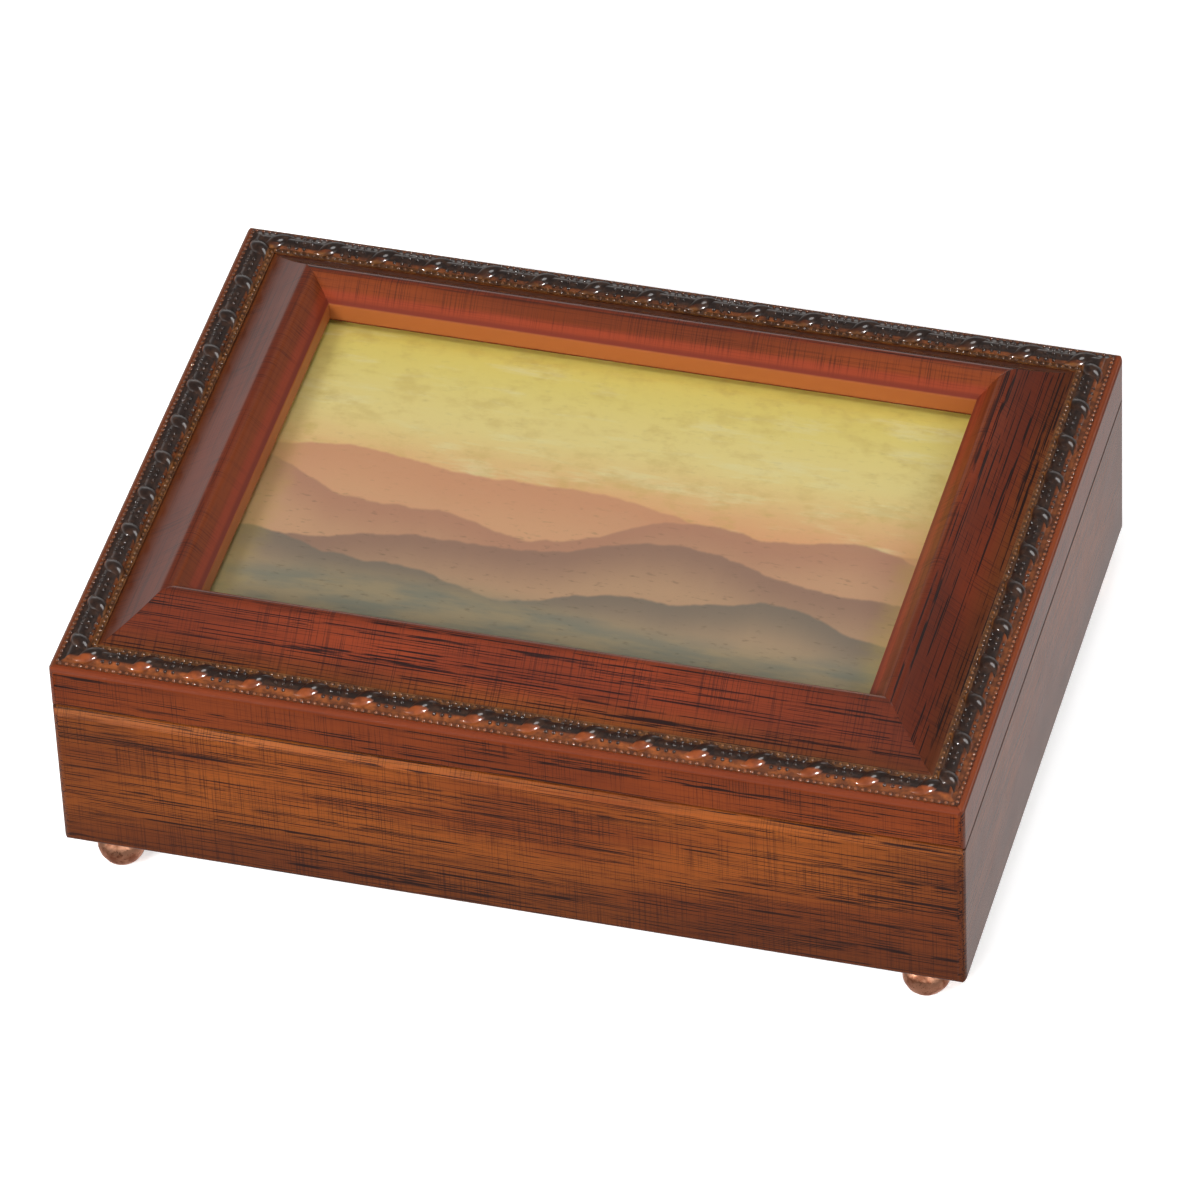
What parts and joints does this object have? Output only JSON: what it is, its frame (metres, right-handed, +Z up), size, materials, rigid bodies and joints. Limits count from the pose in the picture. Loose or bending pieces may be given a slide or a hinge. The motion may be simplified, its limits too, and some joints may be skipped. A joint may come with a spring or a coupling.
{
  "type": "music box",
  "caption": "Glossy wooden music box on ball feet, with a hinged picture-frame lid edged in rope moulding, a lined keepsake tray and a wind-up comb movement with its key underneath.",
  "frame": {"origin": "middle of the case in plan, on the plane the feet stand on", "axes": "+X to the right, -Y towards the front, +Z up; the lid hinges at the back, +Y"},
  "size_m": [0.2032, 0.1524, 0.0704],
  "materials": {
    "case_wood": "glossy lacquered wood print",
    "lid_wood": "glossy lacquered wood print",
    "dark_board": "painted board",
    "foot_copper": "antiqued copper",
    "velvet": "flocked board",
    "hinge_brass": "satin brass",
    "clear_plastic": "clear",
    "movement_plate": "nickel plated",
    "screw_steel": "zinc plated",
    "comb_steel": "ground",
    "key_brass": "bright",
    "movement_brass": "satin",
    "spring_steel": "blued",
    "nylon": "moulded",
    "picture_glass": "clear",
    "picture_print": "printed",
    "backing_card": "plain",
    "rope_ornament": "antiqued moulding"
  },
  "bodies": {
    "case": {"base_front": "case_wood", "base_back": "case_wood", "base_left": "case_wood", "base_right": "case_wood", "base_floor": "dark_board", "foot_front_left": "foot_copper", "foot_front_right": "foot_copper", "foot_back_left": "foot_copper", "foot_back_right": "foot_copper", "divider": "dark_board", "cover_cleats": "dark_board", "movement_cover": "clear_plastic", "cover_screws": "hinge_brass", "lining_floor": "velvet", "lining_front": "velvet", "lining_back": "velvet", "lining_right": "velvet", "lining_divider": "velvet", "hinge_base_leaf_left": "hinge_brass", "hinge_base_leaf_right": "hinge_brass", "hinge_pin_left": "hinge_brass", "hinge_pin_right": "hinge_brass", "hinge_screws_base": "hinge_brass", "bedplate": "movement_plate", "bedplate_screws": "screw_steel", "barrel_bridge": "movement_plate", "comb": "comb_steel", "comb_screws": "screw_steel", "governor_frame": "movement_plate", "governor_screws": "screw_steel", "stop_pivot": "screw_steel"},
    "lid": {"lid_rail_front": "lid_wood", "lid_rail_right": "lid_wood", "lid_rail_back": "lid_wood", "lid_rail_left": "lid_wood", "rope_trim_front": "rope_ornament", "rope_trim_right": "rope_ornament", "rope_trim_back": "rope_ornament", "rope_trim_left": "rope_ornament", "glass_pane": "picture_glass", "picture_card": "picture_print", "backing_board": "backing_card", "lid_lining": "velvet", "retaining_points": "screw_steel", "hinge_lid_leaf_left": "hinge_brass", "hinge_lid_leaf_right": "hinge_brass", "hinge_screws_lid": "hinge_brass"},
    "winder": {"winding_arbor": "screw_steel", "winding_key": "key_brass"},
    "barrel": {"spring_barrel": "movement_brass", "barrel_cap": "movement_brass", "mainspring": "spring_steel"},
    "cylinder": {"pinned_cylinder": "movement_brass", "cylinder_arbor": "comb_steel", "cylinder_gear": "movement_brass"},
    "idler": {"idler_wheel": "nylon"},
    "governor": {"worm_shaft": "comb_steel", "fan": "nylon"},
    "stop": {"stop_lever": "screw_steel"}
  },
  "joints": [
    {"name": "lid_hinge", "type": "hinge", "parent": "case", "child": "lid", "pos_m": [0, 0.0748, 0.04955], "axis": [-1, 0, 0], "range_deg": [0, 95]},
    {"name": "key_wind", "type": "hinge", "parent": "case", "child": "winder", "pos_m": [-0.0656, -0.017, 0], "axis": [0, 0, 1], "continuous": true},
    {"name": "cylinder_spin", "type": "hinge", "parent": "case", "child": "cylinder", "pos_m": [-0.0656, 0, 0.03157], "axis": [0, 1, 0], "continuous": true},
    {"name": "barrel_spin", "type": "hinge", "parent": "case", "child": "barrel", "pos_m": [-0.0656, -0.017, 0], "axis": [0, 0, 1], "continuous": true},
    {"name": "idler_spin", "type": "hinge", "parent": "case", "child": "idler", "pos_m": [-0.0737, 0, 0.02916], "axis": [0, 1, 0], "continuous": true},
    {"name": "governor_spin", "type": "hinge", "parent": "case", "child": "governor", "pos_m": [-0.07935, 0.0237, 0], "axis": [0, 0, 1], "continuous": true},
    {"name": "stop_lift", "type": "hinge", "parent": "case", "child": "stop", "pos_m": [-0.0686, 0.0214, 0.04026], "axis": [0, 1, 0], "range_deg": [0, 10]}
  ],
  "couplings": [
    {"joint": "barrel_spin", "follows": "cylinder_spin", "ratio": 0.33333},
    {"joint": "idler_spin", "follows": "cylinder_spin", "ratio": -3.2},
    {"joint": "governor_spin", "follows": "cylinder_spin", "ratio": 32},
    {"joint": "stop_lift", "follows": "lid_hinge", "ratio": 0.105}
  ]
}
